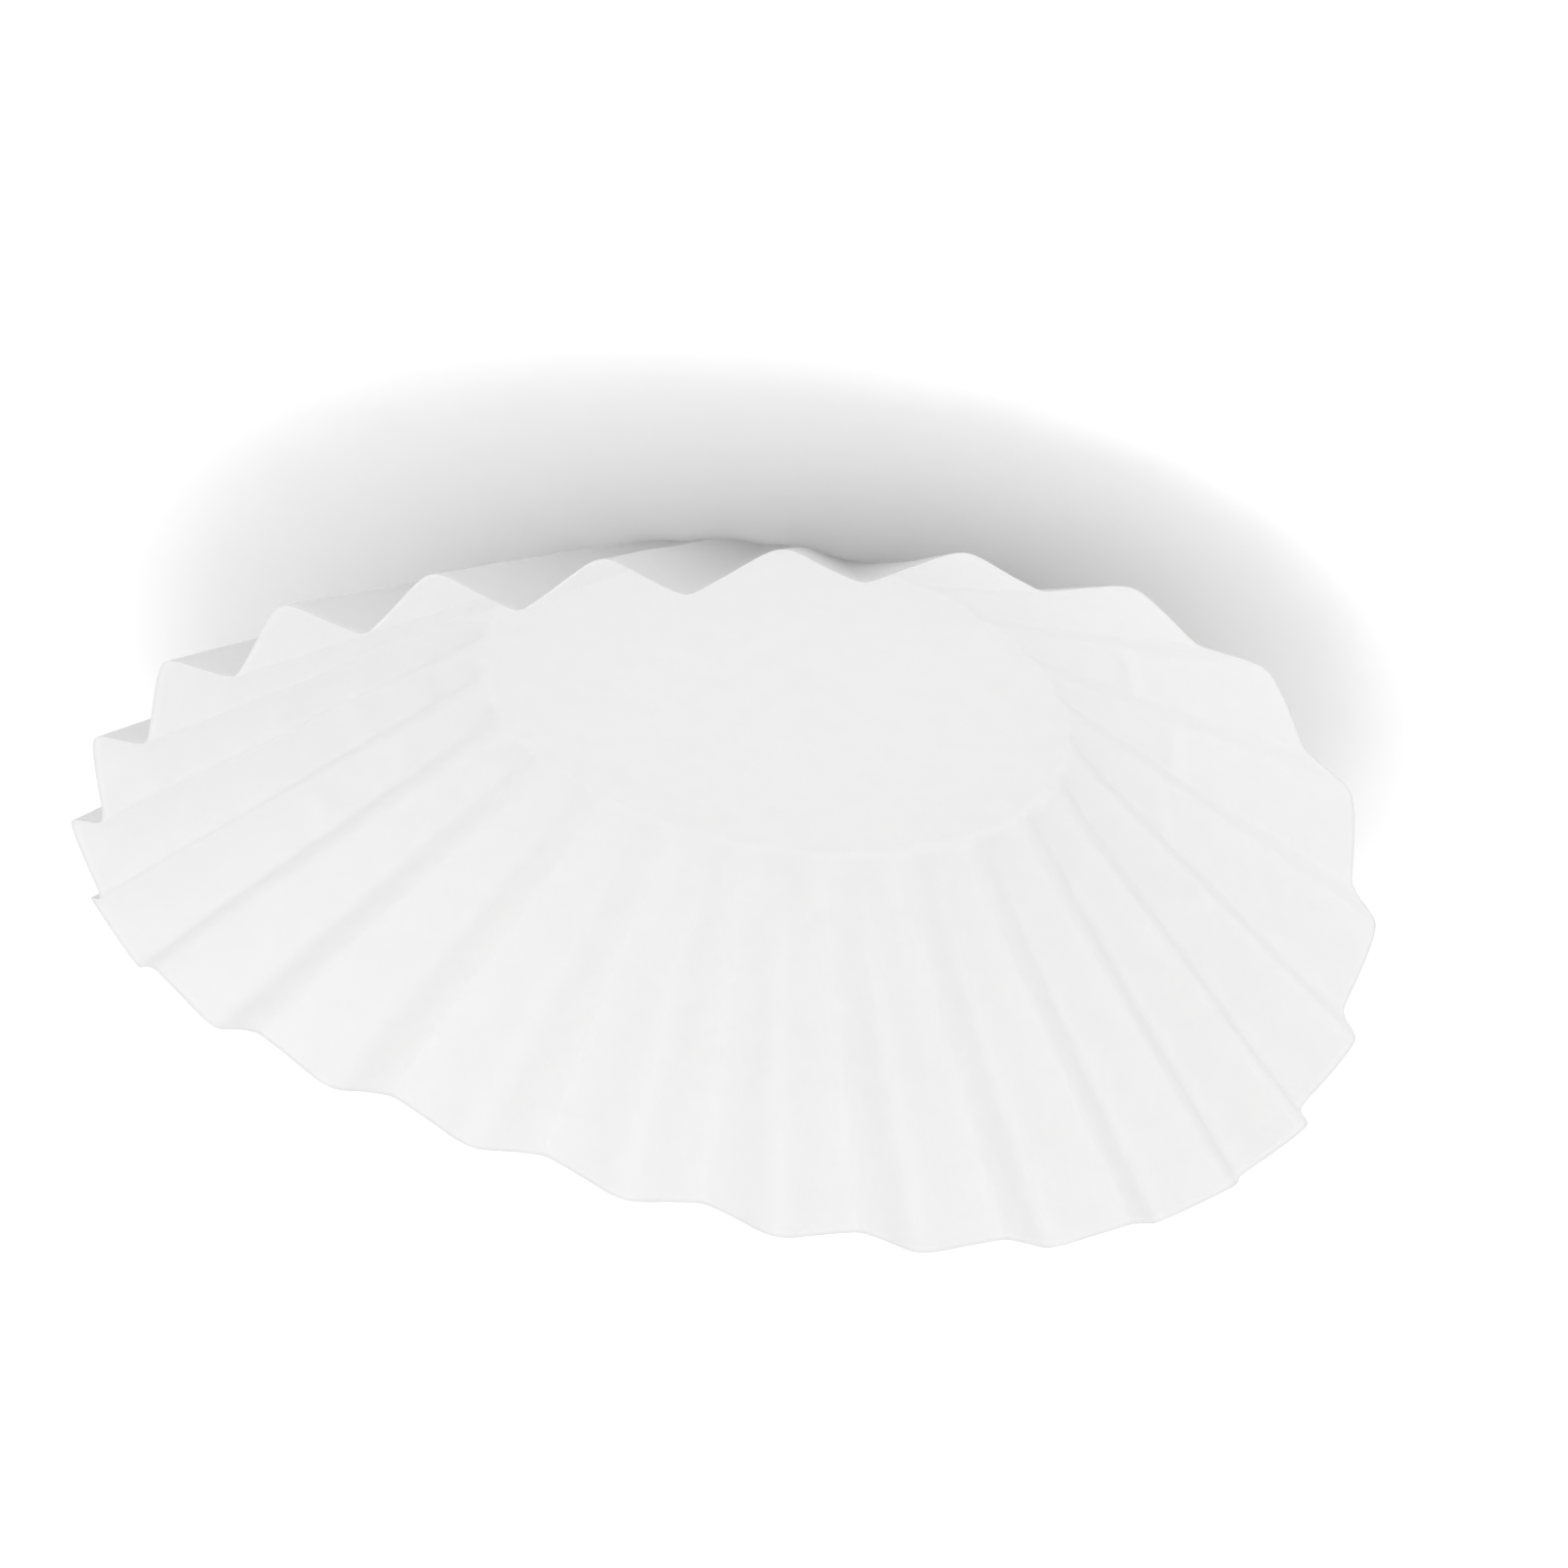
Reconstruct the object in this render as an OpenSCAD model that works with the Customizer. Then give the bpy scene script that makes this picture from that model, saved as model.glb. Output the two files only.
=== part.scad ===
// Paper basket filter: a round sheet pressed into a flat base and a fluted wall.
// The filter stands on its base, opening up, with the origin at the middle of the underside.
// The wall stays the length that it had in the flat sheet. The rim gets shorter as the wall
// is raised, and the flutes take up the spare paper, so their depth follows from the sheet.

/* [Sheet] */
// Diameter of the flat round sheet
sheet_d = 200; // [160:1:250]
// Diameter of the base, to the corner where base and wall would meet
base_d = 81.8; // [64:0.2:100]
// Thickness of the paper
paper_t = 0.15; // [0.1:0.01:0.3]

/* [Wall] */
// Mean angle between the wall and the table, in degrees
wall_deg = 36.5; // [30:0.5:50]
// Radius of the bend from base to wall, on the outside
bend_r = 3; // [2:0.1:5]

/* [Flutes] */
// Number of flutes round the wall
flutes = 24; // [20:1:36]
// Direction of one inward fold, in degrees from +X
first_fold_deg = -20.8; // [-30:0.1:30]
// Sharpness of the inward folds, where 0 is round and 1 is a crease
inner_fold_ratio = 0.98; // [0.6:0.01:0.99]
// Sharpness of the outward folds, where 0 is round and 1 is a crease
outer_fold_ratio = 0.86; // [0.6:0.01:0.99]
// How far the folds turn round the axis from the rim down to the base, in degrees
twist_deg = -2; // [-4:0.1:4]
// How much less deep the flutes are on one side
shallow_ratio = 0.25; // [0:0.01:0.4]
// Direction of that side, in degrees
shallow_dir = -178; // [-180:1:180]

/* [Lie of the wall] */
// How much steeper the wall is on one side, in degrees
lean_deg = 3.2; // [0:0.1:4]
// Direction of the steeper side, in degrees
lean_dir = 85; // [-180:1:180]
// How much steeper the wall is at two opposite sides, in degrees
saddle_deg = 8.7; // [0:0.1:9]
// Direction of one of those two sides, in degrees
saddle_dir = -28.5; // [-90:0.5:90]
// How much steeper the wall is at three places, in degrees
three_deg = 2; // [0:0.1:3]
// Direction of one of those three places, in degrees
three_dir = 42; // [-60:1:60]
// How much steeper the wall is at four places, in degrees
four_deg = 1.8; // [0:0.1:3]
// Direction of one of those four places, in degrees
four_dir = 7; // [-45:1:45]
// How much the rim is drawn out along one direction, on the radius
oval = 2.6; // [0:0.1:5]
// Direction in which it is drawn out, in degrees
oval_dir = -16; // [-90:0.5:90]
// How far the middle of the rim stands to one side of the middle of the base
off_centre = 3; // [0:0.1:5]
// Direction of that side, in degrees
off_centre_dir = 40; // [-180:1:180]

/* [Fineness] */
// Columns of points in each flute
flute_steps = 8; // [6:2:10]
// Rows of points up the bend
bend_rows = 3; // [2:1:4]
// Rows of points up the wall
wall_rows = 8; // [5:1:9]

/* [Hidden] */

sheet_r = sheet_d / 2;
// The bend starts here, and everything inside this circle lies flat on the table.
foot_r = base_d / 2 - bend_r * tan(wall_deg / 2);
// The base disc and the wall share a narrow flat band inside the foot circle.
shared_band = bend_r / 2;
band_r = foot_r - shared_band;
disc_r = foot_r - shared_band / 2;
// Length of the wall along the sheet, from the foot circle to the rim
wall_length = sheet_r - foot_r;
// Rows crowd towards the corner, where the flutes deepen fastest.
row_spacing_ratio = 1.5;
// A small step along the sheet, to find which way a surface faces
probe = paper_t / 3;
columns = flutes * flute_steps;
paper_colour = [0.94, 0.94, 0.94];

// Steepness of the wall in each direction
function wall_angle(dir) = wall_deg
    + lean_deg * cos(dir - lean_dir)
    + saddle_deg * cos(2 * (dir - saddle_dir))
    + three_deg * cos(3 * (dir - three_dir))
    + four_deg * cos(4 * (dir - four_dir));

// Length of the bend along the sheet
function bend_length(dir) = bend_r * wall_angle(dir) * PI / 180;

// Slope of the sheet, in degrees, at this length past the foot circle
function slope(past, dir) = min(past / bend_r * 180 / PI, wall_angle(dir));

// Radius and height of the unfluted sheet at this length past the foot circle
function section(past, dir) =
    let (a = slope(past, dir), straight = max(0, past - bend_length(dir)))
    [foot_r + bend_r * sin(a) + straight * cos(a),
     bend_r * (1 - cos(a)) + straight * sin(a)];

// One flute as a wave from -1 at an inward fold to 1 at an outward fold
function wave(phase) =
    let (
        lift = -cos(phase),
        middle = (outer_fold_ratio + inner_fold_ratio) / 2,
        sharp = middle + (outer_fold_ratio - inner_fold_ratio) / 2 * lift
    )
    asin(sharp * lift) / asin(sharp);

// A wave of this form is longer than a zigzag of the same depth, so it is less deep.
wave_slopes = [for (i = [0:flute_steps - 1])
    let (step = 360 / flute_steps)
    (wave((i + 1) * step) - wave(i * step)) * flute_steps / 4];
wave_fill = 1 / sqrt(wave_slopes * wave_slopes / flute_steps);

// Share of their full depth that the flutes have in one direction
function evenness(dir) = 1 - shallow_ratio * pow((1 + cos(dir - shallow_dir)) / 2, 2);

// How far the rim is drawn out in one direction, by its oval and by standing off centre
function drawn(dir) = oval * cos(2 * (dir - oval_dir)) + off_centre * cos(dir - off_centre_dir);

// Direction in which a point of the sheet lies once the folds have turned
function turned(past, dir) = dir + twist_deg * (1 - past / wall_length);

// Depth of the flutes where the sheet's own circle is longer than the circle it now lies on
function flute_depth(past, dir) =
    let (flat_r = foot_r + past, now_r = section(past, dir)[0])
    wave_fill * PI / flutes * sqrt(max(0, flat_r * flat_r - now_r * now_r)) * evenness(dir);

// A point on the underside of the sheet
function under(past, dir) =
    let (
        p = section(past, dir),
        a = slope(past, dir),
        out = flute_depth(past, dir) / 2 * wave(flutes * (dir - first_fold_deg)),
        r = p[0] + out * sin(a) + drawn(dir) * past / wall_length,
        t = turned(past, dir)
    )
    [r * cos(t), r * sin(t), max(0, p[1] - out * cos(a))];

// Which way the sheet's upper side faces at that point
function facing(past, dir) =
    let (
        turn = probe / sheet_r * 180 / PI,
        along = under(past, dir + turn) - under(past, dir - turn),
        up = under(past + probe, dir) - under(past - probe, dir),
        n = cross(up, along)
    )
    n / norm(n);

// Lengths past the foot circle of the rows in one direction
function rows(dir) =
    let (b = bend_length(dir))
    concat(
        [for (i = [1:bend_rows]) b * i / bend_rows],
        [for (i = [1:wall_rows]) b + (wall_length - b) * pow(i / wall_rows, row_spacing_ratio)]
    );

// Underside and upper side of one column, from the shared band out to the rim
function column(dir) =
    let (t = turned(0, dir), d = [cos(t), sin(t)], rise = [0, 0, paper_t])
    let (flat = [for (r = [band_r, foot_r]) [r * d[0], r * d[1], 0]])
    let (curved = [for (past = rows(dir)) under(past, dir)])
    [
        concat(flat, curved),
        concat(
            [for (p = flat) p + rise],
            [for (past = rows(dir)) under(past, dir) + paper_t * facing(past, dir)]
        )
    ];

module fluted_wall() {
    rings = 2 + bend_rows + wall_rows;
    sides = [for (i = [0:columns - 1]) column(first_fold_deg + i * 360 / columns)];
    points = [for (side = sides) for (skin = side) for (p = skin) p];
    // Index of a point: column, skin (0 under, 1 upper) and ring
    function at(i, skin, k) = ((i % columns) * 2 + skin) * rings + k;
    // Two triangles for the four-sided patch a, b, c, d
    function patch(a, b, c, d) = [[a, b, c], [a, c, d]];
    faces = [for (i = [0:columns - 1])
        for (face = concat(
            [for (k = [0:rings - 2]) for (t = patch(
                at(i, 0, k), at(i, 0, k + 1), at(i + 1, 0, k + 1), at(i + 1, 0, k))) t],
            [for (k = [0:rings - 2]) for (t = patch(
                at(i, 1, k), at(i + 1, 1, k), at(i + 1, 1, k + 1), at(i, 1, k + 1))) t],
            patch(at(i, 0, 0), at(i + 1, 0, 0), at(i + 1, 1, 0), at(i, 1, 0)),
            patch(at(i, 0, rings - 1), at(i, 1, rings - 1),
                  at(i + 1, 1, rings - 1), at(i + 1, 0, rings - 1))))
        face];
    polyhedron(points = points, faces = faces);
}

module filter_paper() {
    color(paper_colour) union() {
        cylinder(r = disc_r, h = paper_t, $fn = columns);
        fluted_wall();
    }
}

filter_paper();
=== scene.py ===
import math

import bmesh
import bpy
from mathutils import Matrix, Vector, noise

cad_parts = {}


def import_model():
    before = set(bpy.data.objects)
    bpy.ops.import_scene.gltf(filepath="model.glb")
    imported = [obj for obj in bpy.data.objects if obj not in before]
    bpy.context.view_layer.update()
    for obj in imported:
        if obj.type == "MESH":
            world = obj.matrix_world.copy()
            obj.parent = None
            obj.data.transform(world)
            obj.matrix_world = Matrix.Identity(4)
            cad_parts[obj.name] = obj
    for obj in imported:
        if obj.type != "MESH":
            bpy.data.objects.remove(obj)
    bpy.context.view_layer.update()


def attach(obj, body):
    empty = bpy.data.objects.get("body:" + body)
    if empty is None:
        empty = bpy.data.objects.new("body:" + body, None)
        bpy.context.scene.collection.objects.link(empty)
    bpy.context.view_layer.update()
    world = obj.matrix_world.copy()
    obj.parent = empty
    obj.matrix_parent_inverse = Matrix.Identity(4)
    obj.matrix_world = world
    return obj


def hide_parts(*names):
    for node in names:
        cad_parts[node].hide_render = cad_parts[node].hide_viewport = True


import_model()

# A paper basket filter. A flat round sheet is spun as a mesh and then pressed: each point keeps
# its length along the sheet, the wall rises at its angle, and the flutes take up the spare paper.
# Last, the rim is drawn out a little, which makes the wall longer or shorter there.
# Lengths here are in millimetres and angles in degrees, counted from +X, unless a line says
# otherwise.


MM = 0.001
FULL_TURN = 360.0

# Sheet
SHEET_R = 100.0
BASE_R = 40.9
PAPER_T = 0.15
BEND_R = 3.0

# Wall and flutes
WALL_DEG = 36.5
FLUTES = 24
FIRST_FOLD_DEG = -20.8
# Sharpness of the inward and of the outward folds, where 0 is round and 1 is a crease. On the
# near side the inward folds are the sharper ones, and on the far side the outward folds.
NEAR_FOLD_RATIOS = (0.98, 0.86)
FAR_FOLD_RATIOS = (0.74, 0.985)
# How far the folds turn round the axis from the rim down to the base
TWIST_DEG = -2.0
# How much less deep the flutes are on one side, and where that side is
SHALLOW_RATIO = 0.25
SHALLOW_DEG = -178.0

# How the wall lies: waves round it, each with its count, extra steepness and direction
LIE = ((1, 3.2, 85.0), (2, 8.7, -28.5), (3, 2.0, 42.0), (4, 1.8, 7.0))
# The rim is drawn out along one direction, and its middle stands to one side of the base's.
OVAL = 2.6
OVAL_DEG = -16.0
OFF_CENTRE = 3.0
OFF_CENTRE_DEG = 40.0

# The bend starts on the foot circle, and the wall's length runs from there to the rim.
FOOT_R = BASE_R - BEND_R * math.tan(math.radians(WALL_DEG / 2))
WALL_LENGTH = SHEET_R - FOOT_R

# Fineness of the mesh
FLUTE_STEPS = 24
COLUMNS = FLUTES * FLUTE_STEPS
BASE_RINGS = 14
BEND_RINGS = 5
WALL_RINGS = 64
# Above 1, the rings of the wall lie closer together towards the bend.
WALL_CROWDING = 1.1
# Points closer than this are one point.
MERGE_GAP = 0.002
# Inside this radius the points lie this far apart, because the columns get too thin there.
MIDDLE_R = 32.0
MIDDLE_GAP = 1.0

# Small unevenness of real paper: heights, lengths over which they change, and lengths of growth,
# over which they grow from nothing at the foot circle. A seed picks one pattern of the noise.
RIPPLE = 0.2
RIPPLE_LENGTH = 16.0
RIPPLE_GROWTH = 20.0
RIPPLE_SEED = 4.2
CRINKLE = 0.03
CRINKLE_LENGTH = 3.2
CRINKLE_GROWTH = 4.0
CRINKLE_SEED = 9.6
# The puckers at the foot of the wall, two to each flute, fade over their reach.
PUCKER = 0.1
PUCKER_REACH = 8.0
PUCKER_GROWTH = 1.5
# The base stands up a little inside its ring of contact: on average and at least these shares
# of its height.
BASE_WARP = 0.12
BASE_WARP_LENGTH = 22.0
BASE_WARP_GROWTH = 6.0
BASE_WARP_SEED = 1.7
BASE_WARP_MEAN = 0.6
BASE_WARP_LEAST = 0.25

# Short creases that cross the flutes: direction, reach to each side in degrees, length past
# the foot circle, how much that grows for each degree, and height. One with a negative height
# is a groove. The paper rises gently to a crease from the foot, over the length of its climb,
# and falls off sharply towards the rim. The last two are on the near side, where they are guessed.
CREASE_CLIMB = 3.0
CREASE_FALL = 1.0
CREASES = (
    (-6.5, 4.5, 21.5, 0.0, 0.27),
    (-6.0, 4.5, 33.0, -0.4, 0.3),
    (6.0, 6.0, 20.0, 0.0, 0.32),
    (8.0, 9.0, 8.0, 0.0, -0.16),
    (20.0, 4.0, 15.2, 0.7, 0.35),
    (22.0, 6.0, 28.0, 0.1, 0.35),
    (34.0, 4.0, 7.5, -0.6, 0.24),
    (161.0, 5.0, 13.0, -0.4, 0.19),
    (181.0, 7.0, 30.0, 0.9, 0.27),
    (191.5, 5.5, 21.0, -0.6, 0.41),
    (208.0, 6.0, 26.0, 0.1, 0.49),
    (222.5, 7.0, 26.5, 0.4, 0.54),
    (262.0, 6.0, 23.0, -0.3, 0.3),
    (305.0, 7.0, 19.0, 0.3, 0.27),
)

# Finish of the paper. Colours are linear.
PAPER_COLOUR = (0.868, 0.868, 0.867, 1.0)
FIBRE_COLOUR = (0.859, 0.859, 0.858, 1.0)
# Share of the light that comes through the sheet
PAPER_THROUGH = 0.22
# Scales of the noise that gives the clouds and the fibres, for each metre
CLOUD_SCALE = 260.0
FIBRE_SCALE = 1400.0
# The grain's own origin lies this far from the middle of the base, in metres.
GRAIN_SHIFT = (0.371, 0.613, 0.247)
# Height of the fibres, in metres
FIBRE_RELIEF = 0.00006

# Floor, with half the length of its side in metres
FLOOR_HALF = 4.0
FLOOR_COLOUR = (0.8, 0.8, 0.8, 1.0)
SEEN_FLOOR_COLOUR = (0.95, 0.95, 0.95, 1.0)
SEEN_FLOOR_GLOW = 0.1

# Light, with the lamps' distance and side in metres and their power in watts
WHITE = (1.0, 1.0, 1.0, 1.0)
WORLD_LIGHT = 0.955
LAMP_DISTANCE = 1.4
LAMP_SIDE = 0.9
TOP_LIGHT_WAY = (0.0, 0.0, 1.0)
TOP_LIGHT_POWER = 4.9
KEY_LIGHT_WAY = (0.2, -0.84, 0.53)
KEY_LIGHT_POWER = 2.1

# The camera, worked out from the folds and the base edge in the photograph. Its distance from
# the origin, its aim and its clip lengths are in metres, its lens and sensor in millimetres.
CAMERA_DISTANCE = 1.3
CAMERA_DEG = 30.54
CAMERA_AIM = (-0.0032, 0.0057, 0.0096)
CAMERA_ROLL_DEG = -170.0
CAMERA_LENS = 216.1
CAMERA_SENSOR = 36.0
CAMERA_CLIP = (0.05, 50.0)


def cosd(a):
    return math.cos(math.radians(a))


def sind(a):
    return math.sin(math.radians(a))


def wall_angle(turn):
    """Steepness of the wall in one direction."""
    return WALL_DEG + sum(extra * cosd(count * (turn - way)) for count, extra, way in LIE)


def section(past, turn):
    """Radius, height and slope of the sheet before it is fluted, this far past the foot circle."""
    full = wall_angle(turn)
    slope = min(math.degrees(past / BEND_R), full)
    straight = max(0.0, past - BEND_R * math.radians(full))
    r = FOOT_R + BEND_R * sind(slope) + straight * cosd(slope)
    z = BEND_R * (1 - cosd(slope)) + straight * sind(slope)
    return r, z, slope


def wave(phase, far=0.0):
    """One flute as a wave, from -1 at an inward fold to 1 at an outward fold.

    far is 0 for the form of the near folds, 1 for that of the far ones, and between for a blend.
    """
    lift = -cosd(phase)
    inner, outer = (n + (f - n) * far for n, f in zip(NEAR_FOLD_RATIOS, FAR_FOLD_RATIOS))
    sharp = (outer + inner) / 2 + (outer - inner) / 2 * lift
    return math.asin(sharp * lift) / math.asin(sharp)


def wave_fill():
    """How much less deep than a zigzag this wave is, for the same length of paper.

    It is worked out for the near folds and used for all of them.
    """
    step = FULL_TURN / FLUTE_STEPS
    heights = [wave(i * step) for i in range(FLUTE_STEPS + 1)]
    slopes = [(b - a) * FLUTE_STEPS / 4 for a, b in zip(heights, heights[1:])]
    return 1 / math.sqrt(sum(s * s for s in slopes) / FLUTE_STEPS)


WAVE_FILL = wave_fill()


def flute_depth(past, r, turn):
    """Depth of the flutes where a circle of the flat sheet now lies on a smaller circle."""
    flat_r = FOOT_R + past
    evenness = 1 - SHALLOW_RATIO * ((1 + cosd(turn - SHALLOW_DEG)) / 2) ** 2
    return WAVE_FILL * math.pi / FLUTES * math.sqrt(max(0.0, flat_r * flat_r - r * r)) * evenness


def drawn_out(turn):
    """How far the rim is drawn out in one direction, by its oval and by standing off centre."""
    return OVAL * cosd(2 * (turn - OVAL_DEG)) + OFF_CENTRE * cosd(turn - OFF_CENTRE_DEG)


def uneven(x, y, length, seed):
    """Smooth noise from -1 to 1 that changes over about this length."""
    return noise.noise(Vector((x / length, y / length, seed)))


def grown(past, growth):
    """Rises from 0 to 1 over the length of its growth."""
    return min(1.0, past / growth)


def creases(past, turn):
    """Height of the short creases that the press left across the flutes."""
    height = 0.0
    half_turn = FULL_TURN / 2
    for way, reach, place, tilt, rise in CREASES:
        aside = (turn - way + half_turn) % FULL_TURN - half_turn
        if abs(aside) < reach:
            off = past - place - tilt * aside
            off /= CREASE_FALL if off > 0 else CREASE_CLIMB
            # A crease fades to nothing at its two ends.
            height += rise * cosd(90.0 * aside / reach) * math.exp(-off * off)
    return height


def unevenness(flat_r, turn):
    """How far a point of the sheet stands off its ideal place, along the sheet's normal."""
    x, y = flat_r * cosd(turn), flat_r * sind(turn)
    past = flat_r - FOOT_R
    if past <= 0:
        lift = BASE_WARP_MEAN + uneven(x, y, BASE_WARP_LENGTH, BASE_WARP_SEED)
        return BASE_WARP * grown(-past, BASE_WARP_GROWTH) * max(BASE_WARP_LEAST, lift)
    off = grown(past, RIPPLE_GROWTH) * RIPPLE * uneven(x, y, RIPPLE_LENGTH, RIPPLE_SEED)
    off += grown(past, CRINKLE_GROWTH) * CRINKLE * uneven(x, y, CRINKLE_LENGTH, CRINKLE_SEED)
    fade = math.exp(-past / PUCKER_REACH) * grown(past, PUCKER_GROWTH)
    off += fade * PUCKER * cosd(2 * FLUTES * (turn - FIRST_FOLD_DEG))
    off += creases(past, turn)
    return off


def pressed(flat_r, turn):
    """Where a point of the flat sheet lies once it is pressed, on the underside, in metres."""
    past = flat_r - FOOT_R
    share = max(0.0, past / WALL_LENGTH)
    rough = unevenness(flat_r, turn)
    r, z = flat_r, rough
    if past > 0:
        r, z, slope = section(past, turn)
        # The folds change their form from 30 degrees in front of the X axis to 30 degrees behind.
        far = min(1.0, max(0.0, 0.5 + sind(turn)))
        flute = wave(FLUTES * (turn - FIRST_FOLD_DEG), far)
        out = flute_depth(past, r, turn) / 2 * flute - rough
        r += out * sind(slope) + drawn_out(turn) * share
        z = max(0.0, z - out * cosd(slope))
    turned = turn + TWIST_DEG * (1 - share)
    return Vector((r * cosd(turned), r * sind(turned), z)) * MM


def ring_radii():
    """Radii of the flat sheet's rings of points, closest together at the bend."""
    base = [FOOT_R * (i + 1) / BASE_RINGS for i in range(BASE_RINGS)]
    bend = BEND_R * math.radians(WALL_DEG)
    bent = [FOOT_R + bend * (i + 1) / BEND_RINGS for i in range(BEND_RINGS)]
    reach = WALL_LENGTH - bend
    shares = [((i + 1) / WALL_RINGS) ** WALL_CROWDING for i in range(WALL_RINGS)]
    wall = [FOOT_R + bend + reach * share for share in shares]
    return base + bent + wall


def flat_sheet(bm):
    """Spins a row of points into a flat round sheet that faces up."""
    row = [bm.verts.new((0.0, 0.0, 0.0))]
    row += [bm.verts.new((r * MM, 0.0, 0.0)) for r in ring_radii()]
    edges = [bm.edges.new(pair) for pair in zip(row, row[1:])]
    bmesh.ops.spin(
        bm, geom=row + edges, cent=(0, 0, 0), axis=(0, 0, 1),
        angle=math.radians(FULL_TURN), steps=COLUMNS, use_merge=True, use_duplicate=False,
    )
    bmesh.ops.remove_doubles(bm, verts=bm.verts, dist=MERGE_GAP * MM)
    middle = [v for v in bm.verts if v.co.xy.length < MIDDLE_R * MM]
    bmesh.ops.remove_doubles(bm, verts=middle, dist=MIDDLE_GAP * MM)
    bmesh.ops.recalc_face_normals(bm, faces=bm.faces)
    if sum(face.normal.z for face in bm.faces) < 0:
        bmesh.ops.reverse_faces(bm, faces=bm.faces)


def press(bm):
    """Moves every point of the flat sheet to its place in the finished filter."""
    for v in bm.verts:
        flat_r = v.co.xy.length / MM
        turn = math.degrees(math.atan2(v.co.y, v.co.x))
        v.co = pressed(flat_r, turn)


def put_in_scene(name, data):
    """A new object of this name, linked into the scene."""
    obj = bpy.data.objects.new(name, data)
    bpy.context.scene.collection.objects.link(obj)
    return obj


def mesh_object(name, bm, material):
    """Turns a finished bmesh into an object with one material."""
    mesh = bpy.data.meshes.new(name)
    bm.to_mesh(mesh)
    bm.free()
    mesh.materials.append(material)
    return put_in_scene(name, mesh)


def filter_sheet(material):
    """The filter as one thin sheet of paper."""
    bm = bmesh.new()
    flat_sheet(bm)
    press(bm)
    paper = mesh_object("filter_sheet", bm, material)
    faces = paper.data.polygons
    faces.foreach_set("use_smooth", [True] * len(faces))
    wall = paper.modifiers.new("paper thickness", "SOLIDIFY")
    wall.thickness = PAPER_T * MM
    wall.offset = 1.0
    wall.use_even_offset = True
    return paper


def empty_tree(owner):
    """The nodes and links of a new material or world, with nothing in them yet."""
    owner.use_nodes = True
    owner.node_tree.nodes.clear()
    return owner.node_tree.nodes, owner.node_tree.links


def paper_material():
    """Bleached filter paper: matt, cloudy with fibres, and a little light comes through it."""
    mat = bpy.data.materials.new("filter paper")
    nodes, links = empty_tree(mat)
    here = nodes.new("ShaderNodeTexCoord")
    place = nodes.new("ShaderNodeMapping")
    place.inputs["Location"].default_value = GRAIN_SHIFT
    links.new(here.outputs["Object"], place.inputs["Vector"])

    clouds = nodes.new("ShaderNodeTexNoise")
    clouds.inputs["Scale"].default_value = CLOUD_SCALE
    clouds.inputs["Detail"].default_value = 5.0
    clouds.inputs["Roughness"].default_value = 0.6
    links.new(place.outputs["Vector"], clouds.inputs["Vector"])

    tint = nodes.new("ShaderNodeValToRGB")
    tint.color_ramp.elements[0].position = 0.35
    tint.color_ramp.elements[0].color = FIBRE_COLOUR
    tint.color_ramp.elements[1].position = 0.6
    tint.color_ramp.elements[1].color = PAPER_COLOUR
    links.new(clouds.outputs["Fac"], tint.inputs["Fac"])

    fibres = nodes.new("ShaderNodeTexNoise")
    fibres.inputs["Scale"].default_value = FIBRE_SCALE
    fibres.inputs["Detail"].default_value = 4.0
    fibres.inputs["Distortion"].default_value = 1.6
    links.new(place.outputs["Vector"], fibres.inputs["Vector"])

    relief = nodes.new("ShaderNodeBump")
    relief.inputs["Strength"].default_value = 0.25
    relief.inputs["Distance"].default_value = FIBRE_RELIEF
    links.new(fibres.outputs["Fac"], relief.inputs["Height"])

    face = nodes.new("ShaderNodeBsdfPrincipled")
    face.inputs["Roughness"].default_value = 0.85
    face.inputs["Specular IOR Level"].default_value = 0.25
    links.new(tint.outputs["Color"], face.inputs["Base Color"])
    links.new(relief.outputs["Normal"], face.inputs["Normal"])

    through = nodes.new("ShaderNodeBsdfTranslucent")
    links.new(tint.outputs["Color"], through.inputs["Color"])
    links.new(relief.outputs["Normal"], through.inputs["Normal"])

    both = nodes.new("ShaderNodeMixShader")
    both.inputs["Fac"].default_value = PAPER_THROUGH
    links.new(face.outputs["BSDF"], both.inputs[1])
    links.new(through.outputs["BSDF"], both.inputs[2])

    out = nodes.new("ShaderNodeOutputMaterial")
    links.new(both.outputs["Shader"], out.inputs["Surface"])
    return mat


def seen_directly(nodes, links):
    """A socket that is 1 for a ray from the camera, gloss or glass, and 0 through matt paper."""
    ray = nodes.new("ShaderNodeLightPath")
    total = ray.outputs["Is Camera Ray"]
    steps = (
        ("Is Glossy Ray", "MAXIMUM"),
        ("Is Transmission Ray", "MAXIMUM"),
        ("Is Diffuse Ray", "SUBTRACT"),
    )
    for name, operation in steps:
        step = nodes.new("ShaderNodeMath")
        step.operation = operation
        step.use_clamp = True
        links.new(total, step.inputs[0])
        links.new(ray.outputs[name], step.inputs[1])
        total = step.outputs["Value"]
    return total


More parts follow.
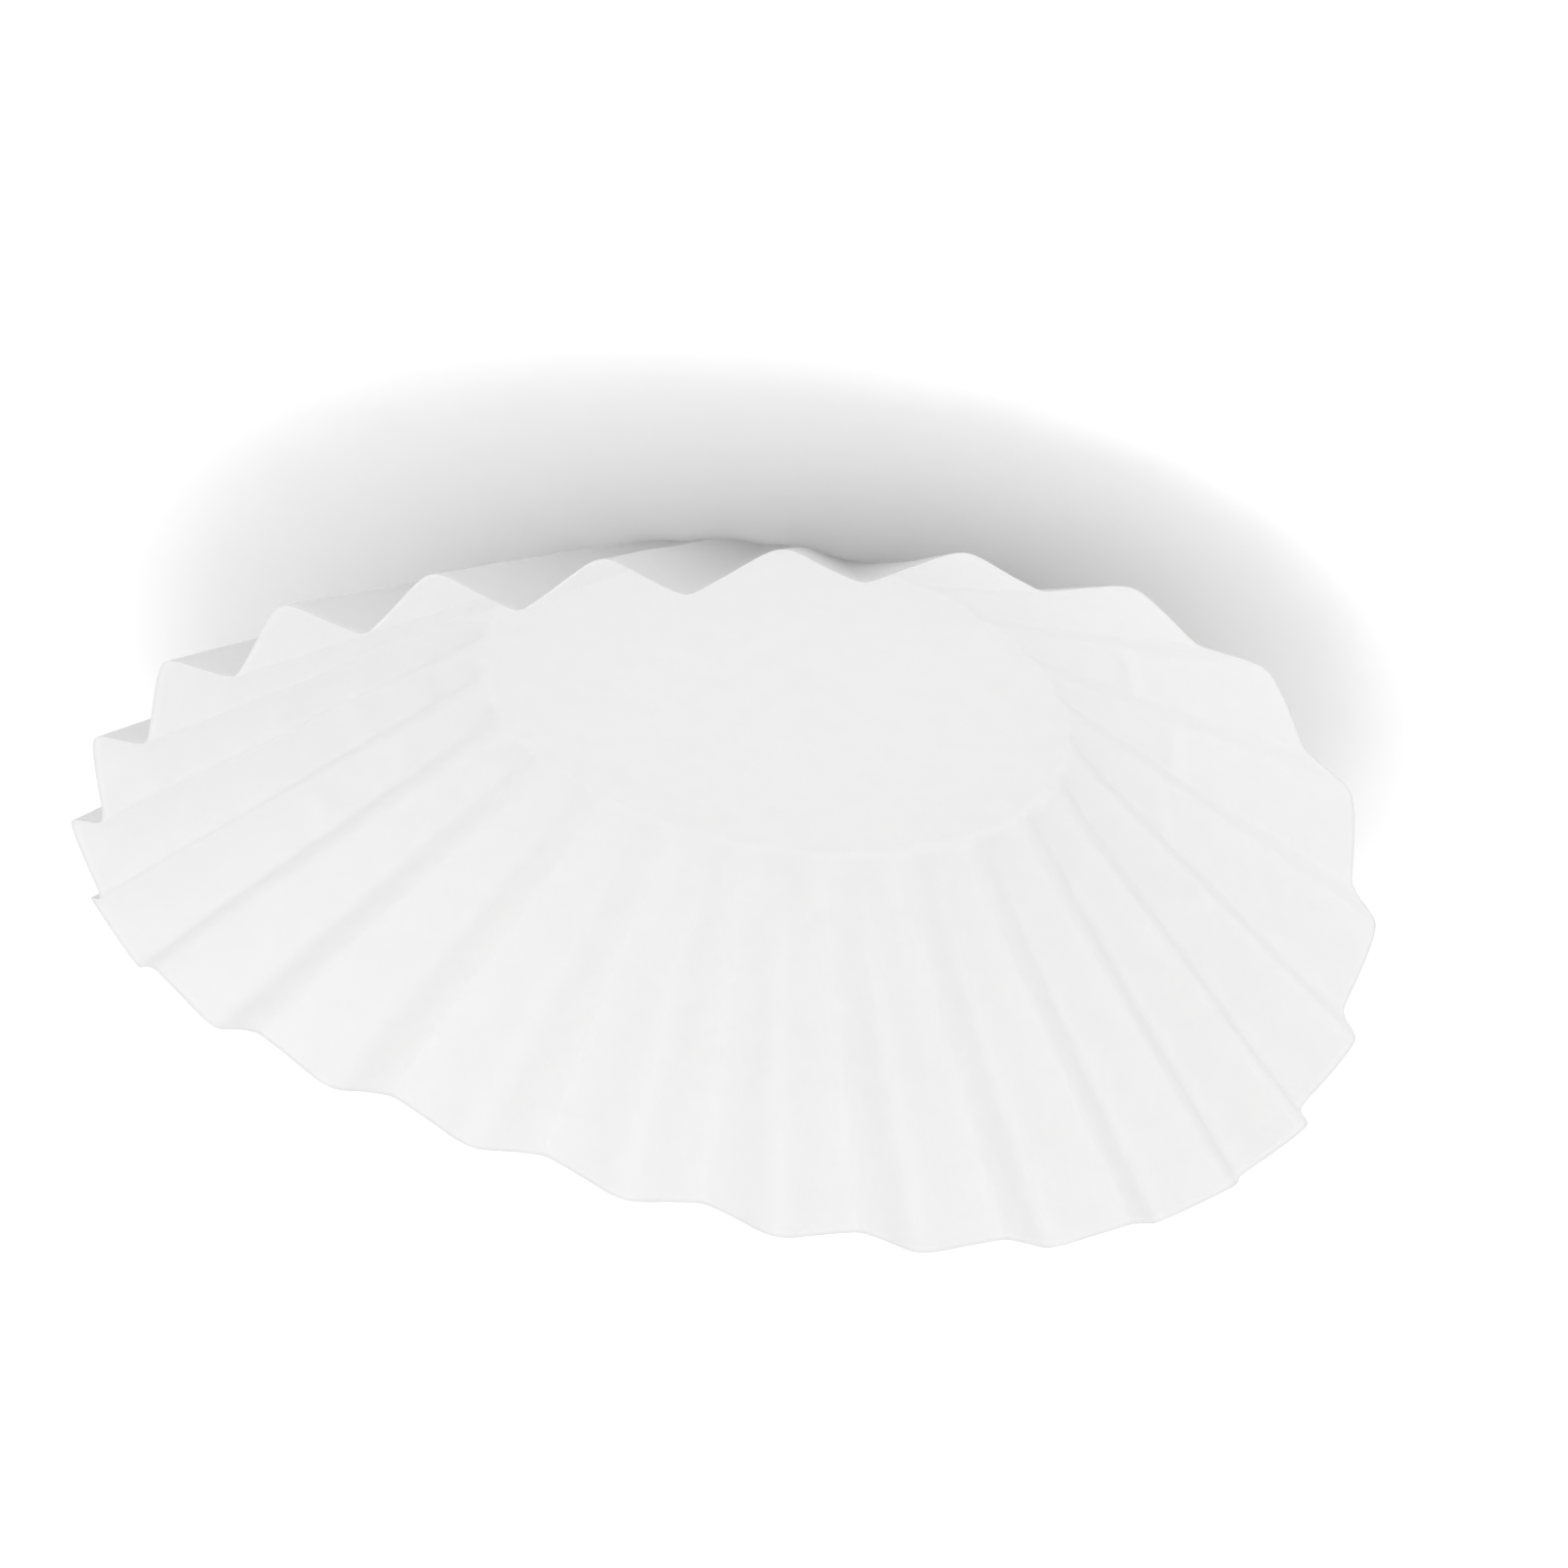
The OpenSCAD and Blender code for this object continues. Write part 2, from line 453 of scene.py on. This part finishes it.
def floor_material():
    """A pale floor that shows as white to the camera and keeps the soft shadow."""
    mat = bpy.data.materials.new("pale floor")
    nodes, links = empty_tree(mat)
    real = nodes.new("ShaderNodeBsdfDiffuse")
    real.inputs["Color"].default_value = FLOOR_COLOUR
    lit = nodes.new("ShaderNodeBsdfDiffuse")
    lit.inputs["Color"].default_value = SEEN_FLOOR_COLOUR
    glow = nodes.new("ShaderNodeEmission")
    glow.inputs["Strength"].default_value = SEEN_FLOOR_GLOW
    seen = nodes.new("ShaderNodeAddShader")
    links.new(lit.outputs["BSDF"], seen.inputs[0])
    links.new(glow.outputs["Emission"], seen.inputs[1])
    pick = nodes.new("ShaderNodeMixShader")
    links.new(seen_directly(nodes, links), pick.inputs["Fac"])
    links.new(real.outputs["BSDF"], pick.inputs[1])
    links.new(seen.outputs["Shader"], pick.inputs[2])
    out = nodes.new("ShaderNodeOutputMaterial")
    links.new(pick.outputs["Shader"], out.inputs["Surface"])
    return mat


def floor():
    """A plain floor under the filter."""
    bm = bmesh.new()
    bmesh.ops.create_grid(bm, x_segments=2, y_segments=2, size=FLOOR_HALF)
    mesh_object("floor", bm, floor_material())


def world():
    """Even white light from all round, and white behind everything."""
    sky = bpy.data.worlds.new("studio")
    nodes, links = empty_tree(sky)
    light = nodes.new("ShaderNodeBackground")
    light.inputs["Color"].default_value = WHITE
    light.inputs["Strength"].default_value = WORLD_LIGHT
    behind = nodes.new("ShaderNodeBackground")
    behind.inputs["Color"].default_value = WHITE
    behind.inputs["Strength"].default_value = 1.0
    pick = nodes.new("ShaderNodeMixShader")
    links.new(seen_directly(nodes, links), pick.inputs["Fac"])
    links.new(light.outputs["Background"], pick.inputs[1])
    links.new(behind.outputs["Background"], pick.inputs[2])
    out = nodes.new("ShaderNodeOutputWorld")
    links.new(pick.outputs["Shader"], out.inputs["Surface"])
    bpy.context.scene.world = sky


def facing(way):
    """The turn that points a lamp or camera along this direction."""
    return way.to_track_quat("-Z", "Y").to_matrix().to_4x4()


def area_light(name, way, power):
    """A soft square lamp in the direction way, turned to the filter."""
    lamp = bpy.data.lights.new(name, "AREA")
    lamp.shape = "SQUARE"
    lamp.size = LAMP_SIDE
    lamp.energy = power
    place = Vector(way).normalized() * LAMP_DISTANCE
    obj = put_in_scene(name, lamp)
    obj.matrix_world = Matrix.Translation(place) @ facing(-place)


def camera():
    """The photograph's view: from the front, above, and turned nearly upside down."""
    data = bpy.data.cameras.new("camera")
    data.sensor_width = CAMERA_SENSOR
    data.lens = CAMERA_LENS
    data.clip_start, data.clip_end = CAMERA_CLIP
    eye = Vector((0.0, -cosd(CAMERA_DEG), sind(CAMERA_DEG))) * CAMERA_DISTANCE
    roll = Matrix.Rotation(math.radians(CAMERA_ROLL_DEG), 4, "Z")
    obj = put_in_scene("camera", data)
    obj.matrix_world = Matrix.Translation(eye) @ facing(Vector(CAMERA_AIM) - eye) @ roll
    bpy.context.scene.camera = obj


bpy.context.scene.view_settings.view_transform = "Standard"
camera()
world()
area_light("top light", TOP_LIGHT_WAY, TOP_LIGHT_POWER)
area_light("key light", KEY_LIGHT_WAY, KEY_LIGHT_POWER)
floor()

sheet = filter_sheet(paper_material())
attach(sheet, "root")
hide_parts("filter_paper")
